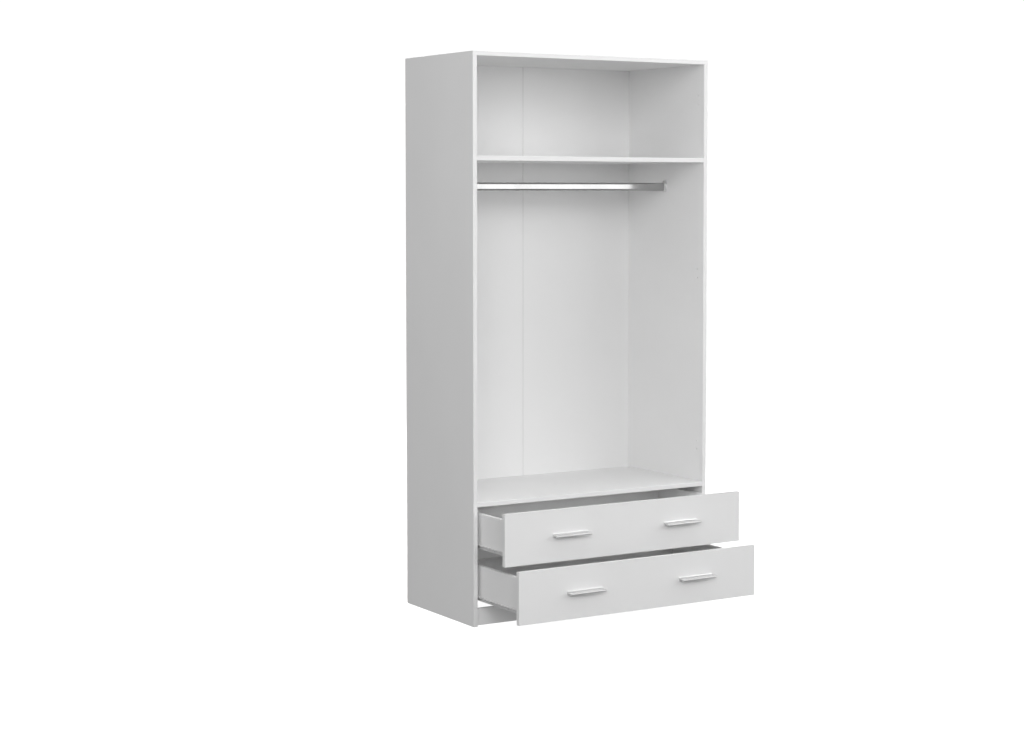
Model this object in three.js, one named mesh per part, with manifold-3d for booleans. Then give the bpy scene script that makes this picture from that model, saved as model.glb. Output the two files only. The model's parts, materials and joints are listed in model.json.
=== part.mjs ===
// Open-fronted wardrobe: a melamine-board carcass with a hanging rail, a fixed shelf and two
// wide drawers on roller runners. Units are millimetres, +X is right, +Y is back and +Z is up.
// Pieces are placed from the carcass's front plane (y = 0), its middle (x = 0) and the floor
// (z = 0); the last lines move the whole wardrobe so that its bounding box is centred on the origin.

import * as THREE from 'three';
import { mergeVertices } from 'three/addons/utils/BufferGeometryUtils.js';
import Module from 'manifold-3d';

const manifold = await Module();
manifold.setup();

// ---- Driving dimensions: carcass ----
const WIDTH = 1000;
const HEIGHT = 2000;
const DEPTH = 490;
const BOARD = 16;
const SHELF_UNDERSIDE = 1624.5;
const DECK_UNDERSIDE = 421;
const PLINTH_HEIGHT = 60;
const PLINTH_SETBACK = 20;
const INNER_HALF = WIDTH / 2 - BOARD;

// ---- Driving dimensions: hardboard back and the strip that joins its two sheets ----
const BACK_THICKNESS = 3;
const BACK_EDGE_REVEAL = 1;
const BACK_FLOOR_GAP = 4;
const STRIP_WEB = 1;
const STRIP_FRONT_WIDTH = 5;
const STRIP_REAR_WIDTH = 14;
const STRIP_FLANGE = 1;

// ---- Clearances: round pieces that slip into each other, and faces that almost touch ----
const CLEARANCE = 0.3;
const FIT_GAP = 0.25;

// ---- Driving dimensions: hinge-plate pilot holes ----
const HINGE_HEIGHTS = [572.5, 1214, 1855.5];
const HINGE_HOLE_SPACING = 32;
const HINGE_HOLE_SETBACK = 37;
const PILOT_RADIUS = 2.5;
const PILOT_DEPTH = 12;

// ---- Driving dimensions: hanging rail ----
const RAIL_HEIGHT = 30;
const RAIL_THICKNESS = 15;
const RAIL_WALL = 1.25;
const RAIL_CENTRE = { y: 245, z: 1535 };
const CUP_PLATE = 2;
const CUP_DEPTH = 12;
const CUP_WALL = 1.75;
const CUP_FLANGE = { halfWidth: 13, halfHeight: 19 };
const LUG_RISE = 20;
const LUG_RADIUS = 6;
const LUG_THICKNESS = 8;
const CUP_SCREW_HEAD_RADIUS = 3;

// ---- Driving dimensions: drawers ----
const FRONT_WIDTH = 996;
const FRONT_HEIGHT = 181.5;
const FRONT_GAP = 1;
const BOX_RISE = 30;
const BOX_HEIGHT = 122;
const BOX_BACK_DROP = 8;
const BOX_LENGTH = 450;
const BOX_HALF = INNER_HALF - 12.5;
const BOTTOM_THICKNESS = 3;
const BOTTOM_RISE = 11;
const GROOVE_DEPTH = 8;
const GROOVE_PLAY = 0.25;
const DRAWERS = [
  { name: 'upper', frontBottom: 244, open: 191.5 },
  { name: 'lower', frontBottom: 60.5, open: 283.5 },
];

// ---- Driving dimensions: roller runners, measured up from the drawer side's bottom edge ----
const SHEET = 1.5;
const RUNNER_LENGTH = 448;
const RUNNER_SETBACK = 21;
const TRACK_BOTTOM = -6;
const TRACK_TOP = 15.5;
const TRACK_REACH = 10.5;
const DRAWER_WEB_TOP = 13;
const DRAWER_FLANGE_REACH = 9.5;
const DRAWER_WRAP = 14;
const ROLLER_RADIUS = 7.45;
const ROLLER_WIDTH = 7;
const ROLLER_CHAMFER = 0.5;
const ROLLER_BORE = 2.2;
const ROLLER_PIN = 2;
const ROLLER_PIN_HEAD = 3.5;
const ROLLER_SIDE_GAP = 0.5;
const FRONT_ROLLER_Y = 30;
const REAR_ROLLER_Y = 438;
const FRONT_ROLLER_RISE = 4;
const REAR_ROLLER_RISE = 3;
const STOP_LENGTH = 6;
const STOP_Y = 84;
const STOP_REACH = 6;
const STOP_HEIGHT = 6;

// ---- Driving dimensions: handles and their screws ----
const HANDLE_LENGTH = 145;
const HANDLE_REACH = 28;
const HANDLE_OFFSET = 234;
const HANDLE_HOLE_SPACING = 128;
const HANDLE_FOOT = { depth: 6, top: 10.5, edge: 1.2, bottom: -5 };
const HANDLE_HOLLOW_REACH = 8;
const HANDLE_PLATE = { top: 3.5, underside: 1 };
const HANDLE_LIP = { depth: 5.5, lean: 1, bottom: -3.6 };
const HANDLE_ROUND = 3;
const SCREW_RADIUS = 2;
const SCREW_HEAD_RADIUS = 4.5;
const SCREW_HEAD_HEIGHT = 2.4;
const SCREW_BITE = 4.5;
const SCREW_HOLE_RADIUS = 2.5;

// ---- Finishes ----
const FINISHES = {
  whiteBoard: { color: 0xf3f3f2, roughness: 0.45, metalness: 0 },
  whiteHardboard: { color: 0xf0f0ef, roughness: 0.6, metalness: 0 },
  whitePlastic: { color: 0xe6e6e5, roughness: 0.5, metalness: 0 },
  chrome: { color: 0xc9cbcd, roughness: 0.15, metalness: 1 },
  aluminium: { color: 0xd6d7d8, roughness: 0.3, metalness: 1 },
  greySteel: { color: 0xa9aaab, roughness: 0.5, metalness: 0.4 },
  rollerPlastic: { color: 0xdededc, roughness: 0.5, metalness: 0 },
  screwSteel: { color: 0xb9bbbd, roughness: 0.35, metalness: 1 },
};

const SIDES = [['left', -1], ['right', 1]];

const wardrobe = new THREE.Group();

function addPiece(name, geometry, finish) {
  const material = new THREE.MeshStandardMaterial(FINISHES[finish]);
  const mesh = new THREE.Mesh(geometry, material);
  mesh.name = name;
  wardrobe.add(mesh);
}

// ---- Geometry helpers ----

// Axis-aligned box between two corners.
function block(low, high) {
  const size = high.map((value, axis) => value - low[axis]);
  const geometry = new THREE.BoxGeometry(...size);
  return geometry.translate(...low.map((value, axis) => value + size[axis] / 2));
}

// Outline in (x, z), carried back along +Y from yStart.
function extrudeAlongY(shape, yStart, length) {
  const geometry = new THREE.ExtrudeGeometry(shape, { depth: length, bevelEnabled: false });
  const turn = new THREE.Matrix4().makeBasis(
    new THREE.Vector3(1, 0, 0),
    new THREE.Vector3(0, 0, 1),
    new THREE.Vector3(0, -1, 0),
  );
  return geometry.applyMatrix4(turn).translate(0, yStart + length, 0);
}

// Outline in (y, z), carried right along +X from xStart.
function extrudeAlongX(shape, xStart, length, curveSegments = 8) {
  const geometry = new THREE.ExtrudeGeometry(shape, {
    depth: length,
    bevelEnabled: false,
    curveSegments,
  });
  const turn = new THREE.Matrix4().makeBasis(
    new THREE.Vector3(0, 1, 0),
    new THREE.Vector3(0, 0, 1),
    new THREE.Vector3(1, 0, 0),
  );
  return geometry.applyMatrix4(turn).translate(xStart, 0, 0);
}

function polygon(points) {
  return new THREE.Shape(points.map(([u, v]) => new THREE.Vector2(u, v)));
}

// Upright oval: two half circles joined by straight sides, centred on (y, z).
function uprightOval(path, centre, height, thickness) {
  const radius = thickness / 2;
  const rise = height / 2 - radius;
  path.absarc(centre.y, centre.z + rise, radius, 0, Math.PI, false);
  path.absarc(centre.y, centre.z - rise, radius, Math.PI, 2 * Math.PI, false);
  path.closePath();
  return path;
}

// Closed cylinder along X between two x values.
function rodAlongX(xLow, xHigh, y, z, radius, segments = 16) {
  const geometry = new THREE.CylinderGeometry(radius, radius, xHigh - xLow, segments);
  return geometry.rotateZ(Math.PI / 2).translate((xLow + xHigh) / 2, y, z);
}

// Closed cylinder along Y between two y values.
function rodAlongY(yLow, yHigh, x, z, radius, segments = 16) {
  const geometry = new THREE.CylinderGeometry(radius, radius, yHigh - yLow, segments);
  return geometry.translate(x, (yLow + yHigh) / 2, z);
}

function toSolid(geometry) {
  const bare = geometry.clone();
  bare.deleteAttribute('normal');
  bare.deleteAttribute('uv');
  const merged = mergeVertices(bare);
  return new manifold.Manifold(new manifold.Mesh({
    numProp: 3,
    vertProperties: new Float32Array(merged.attributes.position.array),
    triVerts: new Uint32Array(merged.index.array),
  }));
}

function fromSolid(solid) {
  const mesh = solid.getMesh();
  const geometry = new THREE.BufferGeometry();
  geometry.setAttribute('position', new THREE.BufferAttribute(mesh.vertProperties, 3));
  geometry.setIndex(new THREE.BufferAttribute(mesh.triVerts, 1));
  geometry.computeVertexNormals();
  return geometry;
}

function cut(body, tools) {
  return fromSolid(tools.reduce((solid, tool) => solid.subtract(toSolid(tool)), toSolid(body)));
}

function join(pieces) {
  return fromSolid(pieces.map(toSolid).reduce((solid, piece) => solid.add(piece)));
}

// ---- Carcass boards ----

// Blind holes in a side's inner face: three pairs for hinge plates and one for the rail bracket.
function sideHoles(innerFace, outward) {
  const reach = [innerFace - outward, innerFace + outward * PILOT_DEPTH];
  const span = [Math.min(...reach), Math.max(...reach)];
  const holes = HINGE_HEIGHTS.flatMap((height) => [-1, 1].map((step) => rodAlongX(
    ...span, HINGE_HOLE_SETBACK, height + step * HINGE_HOLE_SPACING / 2, PILOT_RADIUS,
  )));
  holes.push(rodAlongX(...span, RAIL_CENTRE.y, RAIL_CENTRE.z + LUG_RISE, PILOT_RADIUS));
  return holes;
}

function addSides() {
  const left = block([-WIDTH / 2, 0, 0], [-INNER_HALF, DEPTH, HEIGHT]);
  const right = block([INNER_HALF, 0, 0], [WIDTH / 2, DEPTH, HEIGHT]);
  addPiece('side_left', cut(left, sideHoles(-INNER_HALF, -1)), 'whiteBoard');
  addPiece('side_right', cut(right, sideHoles(INNER_HALF, 1)), 'whiteBoard');
}

function crossBoardUndersides() {
  return { top_panel: HEIGHT - BOARD, shelf: SHELF_UNDERSIDE, deck: DECK_UNDERSIDE };
}

function addCrossBoards() {
  for (const [name, underside] of Object.entries(crossBoardUndersides())) {
    const low = [-INNER_HALF, 0, underside];
    const high = [INNER_HALF, DEPTH, underside + BOARD];
    addPiece(name, block(low, high), 'whiteBoard');
  }
  const plinthBack = PLINTH_SETBACK + BOARD;
  const plinth = block([-INNER_HALF, PLINTH_SETBACK, 0], [INNER_HALF, plinthBack, PLINTH_HEIGHT]);
  addPiece('plinth', plinth, 'whiteBoard');
}

// ---- Back: two hardboard sheets held edge to edge by an H-shaped strip ----

function addBack() {
  const outerEdge = WIDTH / 2 - BACK_EDGE_REVEAL;
  const innerEdge = STRIP_WEB / 2 + FIT_GAP;
  const rear = DEPTH + BACK_THICKNESS;
  const top = HEIGHT - BACK_EDGE_REVEAL;
  const left = block([-outerEdge, DEPTH, BACK_FLOOR_GAP], [-innerEdge, rear, top]);
  const right = block([innerEdge, DEPTH, BACK_FLOOR_GAP], [outerEdge, rear, top]);
  addPiece('back_left', left, 'whiteHardboard');
  addPiece('back_right', right, 'whiteHardboard');
}

// The front flange is cut away where the cross boards meet the back.
function addBackStrip() {
  const frontHalf = STRIP_FRONT_WIDTH / 2;
  const rearHalf = STRIP_REAR_WIDTH / 2;
  const webHalf = STRIP_WEB / 2;
  const frontFlange = DEPTH - STRIP_FLANGE;
  const rearFace = DEPTH + BACK_THICKNESS;
  const rearFlange = rearFace + STRIP_FLANGE;
  const shape = polygon([
    [-frontHalf, frontFlange], [frontHalf, frontFlange], [frontHalf, DEPTH], [webHalf, DEPTH],
    [webHalf, rearFace], [rearHalf, rearFace], [rearHalf, rearFlange], [-rearHalf, rearFlange],
    [-rearHalf, rearFace], [-webHalf, rearFace], [-webHalf, DEPTH], [-frontHalf, DEPTH],
  ]);
  const length = HEIGHT - BACK_EDGE_REVEAL - BACK_FLOOR_GAP;
  const strip = new THREE.ExtrudeGeometry(shape, { depth: length, bevelEnabled: false });
  strip.translate(0, 0, BACK_FLOOR_GAP);
  const notches = Object.values(crossBoardUndersides()).map((underside) => block(
    [-STRIP_FRONT_WIDTH, DEPTH - BOARD, underside - CLEARANCE],
    [STRIP_FRONT_WIDTH, DEPTH + CLEARANCE, underside + BOARD + CLEARANCE],
  ));
  addPiece('back_joint_strip', cut(strip, notches), 'whitePlastic');
}

// ---- Hanging rail: an oval steel tube between two screwed cups ----

function addRail() {
  const end = INNER_HALF - CUP_PLATE - CLEARANCE;
  const outline = uprightOval(new THREE.Shape(), RAIL_CENTRE, RAIL_HEIGHT, RAIL_THICKNESS);
  const bore = uprightOval(
    new THREE.Path(), RAIL_CENTRE, RAIL_HEIGHT - 2 * RAIL_WALL, RAIL_THICKNESS - 2 * RAIL_WALL,
  );
  outline.holes.push(bore);
  addPiece('hanging_rail', extrudeAlongX(outline, -end, 2 * end), 'chrome');
}

function railCup(side) {
  const wall = side * INNER_HALF;
  const alongX = (shape, reach) => extrudeAlongX(shape, Math.min(wall, wall - side * reach), reach);
  const innerGap = 2 * CLEARANCE;
  const outerGap = innerGap + 2 * CUP_WALL;
  const ovalShape = (extra) => uprightOval(
    new THREE.Shape(), RAIL_CENTRE, RAIL_HEIGHT + extra, RAIL_THICKNESS + extra,
  );
  const flange = new THREE.Shape().absellipse(
    RAIL_CENTRE.y, RAIL_CENTRE.z, CUP_FLANGE.halfWidth, CUP_FLANGE.halfHeight, 0, 2 * Math.PI,
  );
  const rim = ovalShape(outerGap);
  rim.holes.push(uprightOval(
    new THREE.Path(), RAIL_CENTRE, RAIL_HEIGHT + innerGap, RAIL_THICKNESS + innerGap,
  ));
  const lugHeight = RAIL_CENTRE.z + LUG_RISE;
  const lugReach = [wall, wall - side * LUG_THICKNESS];
  const lugSpan = [Math.min(...lugReach), Math.max(...lugReach)];
  const lug = rodAlongX(...lugSpan, RAIL_CENTRE.y, lugHeight, LUG_RADIUS, 24);
  const cup = join([alongX(flange, CUP_PLATE), alongX(rim, CUP_DEPTH), lug]);
  const railRoom = alongX(ovalShape(innerGap), CUP_DEPTH).translate(-side * CUP_PLATE, 0, 0);
  const screwHole = rodAlongX(
    lugSpan[0] - 1, lugSpan[1] + 1, RAIL_CENTRE.y, lugHeight, PILOT_RADIUS,
  );
  return cut(cup, [railRoom, screwHole]);
}

// Pan-head screw turned about its own axis: head above the plane y = 0, shank below it.
function screwProfile(shankLength, headRadius) {
  const dome = [0.2, 0.55, 0.85].map((share) => {
    const angle = share * Math.PI / 2;
    const radius = headRadius * Math.cos(angle);
    const rise = SCREW_HEAD_HEIGHT * Math.sin(angle);
    return new THREE.Vector2(radius, rise);
  });
  return [
    new THREE.Vector2(0, -shankLength),
    new THREE.Vector2(SCREW_RADIUS, -shankLength + SCREW_RADIUS / 2),
    new THREE.Vector2(SCREW_RADIUS, 0),
    new THREE.Vector2(headRadius, 0),
    ...dome,
    new THREE.Vector2(0, SCREW_HEAD_HEIGHT),
  ];
}

function screw(shankLength, headRadius) {
  return new THREE.LatheGeometry(screwProfile(shankLength, headRadius), 16);
}

function addRailEnds() {
  for (const [name, side] of SIDES) {
    addPiece(`rail_cup_${name}`, railCup(side), 'chrome');
    const seat = side * (INNER_HALF - LUG_THICKNESS - FIT_GAP);
    const fixing = screw(PILOT_DEPTH + LUG_THICKNESS - 1, CUP_SCREW_HEAD_RADIUS);
    fixing.rotateZ(side * Math.PI / 2);
    fixing.translate(seat, RAIL_CENTRE.y, RAIL_CENTRE.z + LUG_RISE);
    addPiece(`rail_screw_${name}`, fixing, 'screwSteel');
  }
}

// ---- Roller runners ----

// A white roller on a fixed pin, turning about X; the profile closes on itself round the bore.
function roller(xMiddle, y, z) {
  const half = ROLLER_WIDTH / 2;
  const shoulder = half - ROLLER_CHAMFER;
  const rim = ROLLER_RADIUS - ROLLER_CHAMFER;
  const profile = [
    [ROLLER_BORE, -half], [rim, -half], [ROLLER_RADIUS, -shoulder],
    [ROLLER_RADIUS, shoulder], [rim, half], [ROLLER_BORE, half], [ROLLER_BORE, -half],
  ];
  const points = profile.map(([radius, along]) => new THREE.Vector2(radius, along));
  return new THREE.LatheGeometry(points, 24).rotateZ(Math.PI / 2).translate(xMiddle, y, z);
}

// Riveted pin from a web at xWeb through a roller, ending in a wider head; side points inwards
// from the web to the roller.
function rollerPin(xWeb, side, y, z) {
  const shankEnd = xWeb + side * (ROLLER_WIDTH + 2 * ROLLER_SIDE_GAP);
  const headEnd = shankEnd + side * ROLLER_SIDE_GAP;
  const rod = (from, to, radius) => rodAlongX(
    Math.min(from, to), Math.max(from, to), y, z, radius,
  );
  return [
    rod(xWeb - side * SHEET / 2, headEnd, ROLLER_PIN),
    rod(shankEnd, headEnd, ROLLER_PIN_HEAD),
  ];
}

// Carcass half: a channel open towards the drawer, with a roller near its front end and a
// pressed stop that keeps the drawer's rear roller from running out.
function addCarcassRunner(drawer, sideName, side, base) {
  const wall = side * INNER_HALF;
  const at = (reach) => wall - side * reach;
  const channel = extrudeAlongY(polygon([
    [at(0), base + TRACK_BOTTOM], [at(TRACK_REACH), base + TRACK_BOTTOM],
    [at(TRACK_REACH), base + TRACK_BOTTOM + SHEET], [at(SHEET), base + TRACK_BOTTOM + SHEET],
    [at(SHEET), base + TRACK_TOP - SHEET], [at(TRACK_REACH), base + TRACK_TOP - SHEET],
    [at(TRACK_REACH), base + TRACK_TOP], [at(0), base + TRACK_TOP],
  ]), RUNNER_SETBACK, RUNNER_LENGTH);
  const stopReach = [at(SHEET / 2), at(STOP_REACH)];
  const stop = block(
    [Math.min(...stopReach), STOP_Y, base],
    [Math.max(...stopReach), STOP_Y + STOP_LENGTH, base + STOP_HEIGHT],
  );
  const rollerZ = base + FRONT_ROLLER_RISE;
  const pin = rollerPin(at(SHEET), -side, FRONT_ROLLER_Y, rollerZ);
  addPiece(`${drawer.name}_carcass_runner_${sideName}`, join([channel, stop, ...pin]), 'greySteel');
  const rollerX = at(SHEET + ROLLER_SIDE_GAP + ROLLER_WIDTH / 2);
  const wheel = roller(rollerX, FRONT_ROLLER_Y, rollerZ);
  addPiece(`${drawer.name}_front_roller_${sideName}`, wheel, 'rollerPlastic');
}

// Drawer half: wraps the bottom edge of the drawer side; its top flange runs on the front roller.
function addDrawerRunner(drawer, sideName, side, base) {
  const at = (reach) => side * (BOX_HALF + reach);
  const webTop = base + DRAWER_WEB_TOP;
  const profile = extrudeAlongY(polygon([
    [at(-DRAWER_WRAP), base - SHEET], [at(SHEET), base - SHEET], [at(SHEET), webTop - SHEET],
    [at(DRAWER_FLANGE_REACH), webTop - SHEET], [at(DRAWER_FLANGE_REACH), webTop],
    [at(0), webTop], [at(0), base], [at(-DRAWER_WRAP), base],
  ]), -drawer.open, RUNNER_LENGTH);
  const rollerY = REAR_ROLLER_Y - drawer.open;
  const rollerZ = base + REAR_ROLLER_RISE;
  const pin = rollerPin(at(SHEET), side, rollerY, rollerZ);
  addPiece(`${drawer.name}_drawer_runner_${sideName}`, join([profile, ...pin]), 'greySteel');
  const rollerX = at(SHEET + ROLLER_SIDE_GAP + ROLLER_WIDTH / 2);
  const wheel = roller(rollerX, rollerY, rollerZ);
  addPiece(`${drawer.name}_rear_roller_${sideName}`, wheel, 'rollerPlastic');
}

// ---- Drawer box and front ----

function addDrawerSide(drawer, sideName, side, base) {
  const outer = side * BOX_HALF;
  const inner = side * (BOX_HALF - BOARD);
  const grooveFloor = side * (BOX_HALF - BOARD + GROOVE_DEPTH);
  const grooveLow = base + BOTTOM_RISE - GROOVE_PLAY;
  const grooveHigh = base + BOTTOM_RISE + BOTTOM_THICKNESS + GROOVE_PLAY;
  const outline = polygon([
    [outer, base], [outer, base + BOX_HEIGHT], [inner, base + BOX_HEIGHT], [inner, grooveHigh],
    [grooveFloor, grooveHigh], [grooveFloor, grooveLow], [inner, grooveLow], [inner, base],
  ]);
  const board = extrudeAlongY(outline, -FRONT_GAP - drawer.open, BOX_LENGTH);
  addPiece(`${drawer.name}_drawer_side_${sideName}`, board, 'whiteBoard');
}

function handleScrewCentres(handleX) {
  return [-1, 1].map((step) => handleX + step * HANDLE_HOLE_SPACING / 2);
}

function addDrawerFront(drawer, base) {
  const inner = -FRONT_GAP - drawer.open;
  const outer = inner - BOARD;
  const half = FRONT_WIDTH / 2;
  const panel = block(
    [-half, outer, drawer.frontBottom], [half, inner, drawer.frontBottom + FRONT_HEIGHT],
  );
  const grooveHalf = BOX_HALF - BOARD + GROOVE_DEPTH;
  const groove = block(
    [-grooveHalf, inner - GROOVE_DEPTH, base + BOTTOM_RISE - GROOVE_PLAY],
    [grooveHalf, inner + GROOVE_DEPTH, base + BOTTOM_RISE + BOTTOM_THICKNESS + GROOVE_PLAY],
  );
  const middle = drawer.frontBottom + FRONT_HEIGHT / 2;
  const screwHoles = [-HANDLE_OFFSET, HANDLE_OFFSET].flatMap(handleScrewCentres).map(
    (x) => rodAlongY(outer - 1, inner + 1, x, middle, SCREW_HOLE_RADIUS),
  );
  addPiece(`${drawer.name}_drawer_front`, cut(panel, [groove, ...screwHoles]), 'whiteBoard');
}

function addDrawerBackAndBottom(drawer, base) {
  const front = -FRONT_GAP - drawer.open;
  const rear = front + BOX_LENGTH;
  const innerHalf = BOX_HALF - BOARD;
  const bottomHalf = innerHalf + GROOVE_DEPTH - CLEARANCE;
  const bottomTop = base + BOTTOM_RISE + BOTTOM_THICKNESS;
  const backTop = base + BOX_HEIGHT - BOX_BACK_DROP;
  const back = block([-innerHalf, rear - BOARD, bottomTop], [innerHalf, rear, backTop]);
  addPiece(`${drawer.name}_drawer_back`, back, 'whiteBoard');
  const bottom = block(
    [-bottomHalf, front - GROOVE_DEPTH + CLEARANCE, base + BOTTOM_RISE],
    [bottomHalf, rear, bottomTop],
  );
  addPiece(`${drawer.name}_drawer_bottom`, bottom, 'whiteHardboard');
}

// ---- Handles: an extruded hook section, open underneath for the fingers ----

// Section in (reach, height): reach is measured out from the drawer front. A foot lies on the
// front and sweeps in a hollow curve into a thin plate, whose rounded lip turns down.
function handleSection() {
  const lipFront = HANDLE_REACH - HANDLE_LIP.lean;
  const lipInside = HANDLE_REACH - HANDLE_LIP.depth;
  const lipRear = lipInside - HANDLE_LIP.lean / 2;
  const plateStart = HANDLE_FOOT.depth + HANDLE_ROUND;
  const section = new THREE.Shape();
  section.moveTo(0, HANDLE_FOOT.bottom);
  section.lineTo(0, HANDLE_FOOT.top);
  section.lineTo(HANDLE_FOOT.edge, HANDLE_FOOT.top);
  section.quadraticCurveTo(
    HANDLE_FOOT.edge, HANDLE_PLATE.top, HANDLE_HOLLOW_REACH, HANDLE_PLATE.top,
  );
  section.lineTo(HANDLE_REACH - HANDLE_ROUND, HANDLE_PLATE.top);
  section.quadraticCurveTo(HANDLE_REACH, HANDLE_PLATE.top, HANDLE_REACH, HANDLE_PLATE.underside);
  section.lineTo(lipFront, HANDLE_LIP.bottom + 1);
  section.quadraticCurveTo(lipFront - 1, HANDLE_LIP.bottom - 1, lipRear, HANDLE_LIP.bottom + 1);
  section.lineTo(lipInside, -1);
  section.quadraticCurveTo(
    lipInside, HANDLE_PLATE.underside, lipInside - HANDLE_ROUND, HANDLE_PLATE.underside,
  );
  section.lineTo(plateStart, HANDLE_PLATE.underside);
  section.quadraticCurveTo(HANDLE_FOOT.depth, HANDLE_PLATE.underside, HANDLE_FOOT.depth, -2);
  section.lineTo(HANDLE_FOOT.depth, HANDLE_FOOT.bottom);
  section.closePath();
  return section;
}

function addHandle(drawer, sideName, xCentre) {
  const face = -FRONT_GAP - drawer.open - BOARD;
  const middle = drawer.frontBottom + FRONT_HEIGHT / 2;
  const bar = new THREE.ExtrudeGeometry(handleSection(), {
    depth: HANDLE_LENGTH,
    bevelEnabled: false,
    curveSegments: 4,
  });
  const turn = new THREE.Matrix4().makeBasis(
    new THREE.Vector3(0, -1, 0),
    new THREE.Vector3(0, 0, 1),
    new THREE.Vector3(-1, 0, 0),
  );
  bar.applyMatrix4(turn).translate(xCentre + HANDLE_LENGTH / 2, face, middle);
  const threads = handleScrewCentres(xCentre).map(
    (x) => rodAlongY(face - SCREW_BITE - CLEARANCE, face + 1, x, middle, SCREW_RADIUS + FIT_GAP),
  );
  addPiece(`${drawer.name}_handle_${sideName}`, cut(bar, threads), 'aluminium');
  handleScrewCentres(xCentre).forEach((x, index) => {
    const fixing = screw(BOARD + SCREW_BITE, SCREW_HEAD_RADIUS);
    fixing.translate(x, face + BOARD + FIT_GAP, middle);
    addPiece(`${drawer.name}_handle_${sideName}_screw_${index + 1}`, fixing, 'screwSteel');
  });
}

function addDrawer(drawer) {
  const base = drawer.frontBottom + BOX_RISE;
  addDrawerFront(drawer, base);
  addDrawerBackAndBottom(drawer, base);
  for (const [sideName, side] of SIDES) {
    addDrawerSide(drawer, sideName, side, base);
    addCarcassRunner(drawer, sideName, side, base);
    addDrawerRunner(drawer, sideName, side, base);
    addHandle(drawer, sideName, side * HANDLE_OFFSET);
  }
}

addSides();
addCrossBoards();
addBack();
addBackStrip();
addRail();
addRailEnds();
DRAWERS.forEach(addDrawer);

// Centre the bounding box on the origin: from the most open drawer's handle to the back strip.
const furthestOpen = Math.max(...DRAWERS.map((drawer) => drawer.open));
const foremost = -FRONT_GAP - furthestOpen - BOARD - HANDLE_REACH;
const rearmost = DEPTH + BACK_THICKNESS + STRIP_FLANGE;
wardrobe.position.y = -(foremost + rearmost) / 2;

export default wardrobe;
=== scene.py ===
import json
import math

import bmesh
import bpy
import numpy as np
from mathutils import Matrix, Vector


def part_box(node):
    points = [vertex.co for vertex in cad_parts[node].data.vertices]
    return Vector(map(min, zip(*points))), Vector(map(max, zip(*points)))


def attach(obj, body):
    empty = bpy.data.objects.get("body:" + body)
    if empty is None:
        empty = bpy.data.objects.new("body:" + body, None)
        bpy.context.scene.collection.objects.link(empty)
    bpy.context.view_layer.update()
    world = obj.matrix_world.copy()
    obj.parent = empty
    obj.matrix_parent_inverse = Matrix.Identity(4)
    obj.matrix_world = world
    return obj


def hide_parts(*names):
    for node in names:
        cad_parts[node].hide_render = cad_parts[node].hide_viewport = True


# Looks of an open-fronted white wardrobe: two big compartments over two drawers.
# Metres; X runs to the right seen from the front, Y to the back and Z up from the floor.
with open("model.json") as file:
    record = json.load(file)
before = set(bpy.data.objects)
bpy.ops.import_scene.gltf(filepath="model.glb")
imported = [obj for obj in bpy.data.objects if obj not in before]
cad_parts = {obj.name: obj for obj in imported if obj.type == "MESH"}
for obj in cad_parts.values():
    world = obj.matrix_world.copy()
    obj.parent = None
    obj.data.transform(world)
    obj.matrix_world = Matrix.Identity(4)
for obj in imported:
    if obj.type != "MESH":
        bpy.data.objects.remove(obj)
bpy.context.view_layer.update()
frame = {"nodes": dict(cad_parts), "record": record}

NODES = frame["nodes"]
BODY_OF = {
    node: body
    for body, nodes in frame["record"]["behaviour"]["bodies"].items()
    for node in nodes
}
SIDES = (("left", -1), ("right", 1))
DRAWERS = ("upper", "lower")
MM = 0.001
TURN = 2 * math.pi

# ---- Driving dimensions, in metres ----

MERGE_DISTANCE = 0.002 * MM
BOARD_EASE = 0.9 * MM
BORED_EASE = 0.5 * MM
THIN_EASE = 0.3 * MM
STRIP_EASE = 0.15 * MM
ARC_STEPS = 4
BACK_SPLIT_DEPTH = 0.5

SHEET = 1.5 * MM
SHEET_BEND = 1.6 * MM
SCREW_HEAD = {"radius": 4.5 * MM, "height": 2.4 * MM}
RUNNER_SCREW = {"radius": 3.4 * MM, "height": 1.1 * MM}
RUNNER_SCREW_SETBACKS = (93 * MM, 204 * MM, 332 * MM)
NAIL = {"radius": 2.6 * MM, "height": 0.7 * MM}
NAIL_SPACING = 0.118
NAIL_INSET = 8 * MM
NAILS_ABOVE_FLOOR = 30 * MM
NAILS_BELOW_TOP = 45 * MM
NAILS_FROM_EDGE = 60 * MM
NAILS_FROM_STRIP = 25 * MM

RAIL_WALL = 1.25 * MM
CUP_WALL = 1.75 * MM
CUP_ROOM = 0.3 * MM
CUP_PLATE = 2 * MM
CUP_EASE = 1.2 * MM
LUG_DEPTH = 8 * MM
RAIL_SCREW_SHANK = 2 * MM
HANDLE_SCREW_SHANK = 2 * MM

CHANNEL_REACH = 10.5 * MM
STOP = {"setback": 63 * MM, "reach": 6 * MM, "rise": 6 * MM, "size": 6 * MM}
ROLLER_PIN = {"length": 8 * MM, "head_radius": 3.5 * MM}
RUNNER_ANGLE = {"under": 14 * MM, "web": 13 * MM, "flange": 9.5 * MM, "length": 448 * MM}
RUNNER_SCREW_SHANK = {"radius": 1.5 * MM, "length": 10 * MM, "rise": 5.5 * MM}

# The handle's section is drawn in millimetres: reach from the drawer front, height from its middle.
HANDLE_REACH = 28
HANDLE_FOOT = {"depth": 6, "top": 10.5, "edge": 1.2, "bottom": -5}
HANDLE_HOLLOW_RADIUS = 6.4
HANDLE_PLATE = {"top": 3.5, "underside": 1}
HANDLE_LIP = {"inside": 22.5, "heel": 21.8, "bottom": -3.6}

# ---- Surfaces: every piece is made of (vertices, faces) pairs ----


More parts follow.
